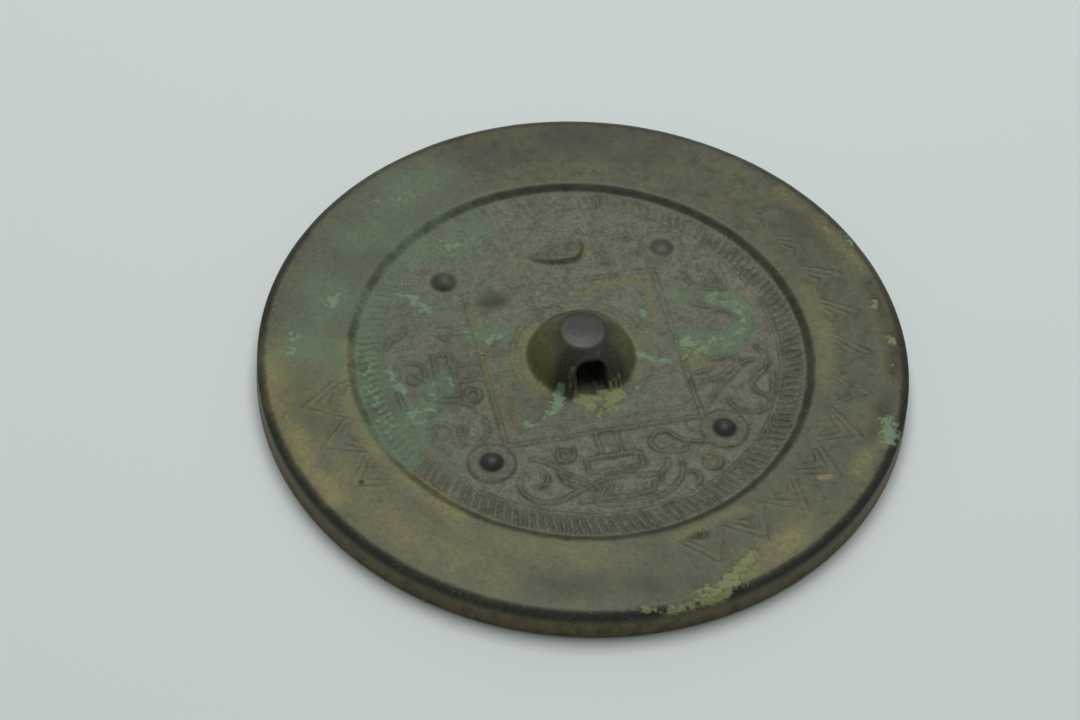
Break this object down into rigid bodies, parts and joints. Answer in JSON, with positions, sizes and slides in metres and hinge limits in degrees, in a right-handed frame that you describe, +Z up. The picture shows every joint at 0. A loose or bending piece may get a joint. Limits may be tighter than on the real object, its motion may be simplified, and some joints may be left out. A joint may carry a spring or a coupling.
{
  "type": "ancient bronze mirror",
  "caption": "Round cast bronze mirror lying face down: broad rim, pierced knob, square, corner bosses, comb band, saw-tooth rim and winding beasts in low relief.",
  "frame": {"origin": "centre of the underside, which is the reflecting face that the mirror lies on", "axes": "+Z up out of the decorated back, X and Y along the sides of the square round the knob, the knob's cord hole along Y"},
  "size_m": [0.11, 0.11, 0.0112],
  "materials": {
    "bronze": "olive-brown bronze patina with green corrosion in patches, satin, darker and smoother on the burnished edge and the knob"
  },
  "bodies": {
    "root": {"mirror": "bronze"}
  },
  "joints": []
}
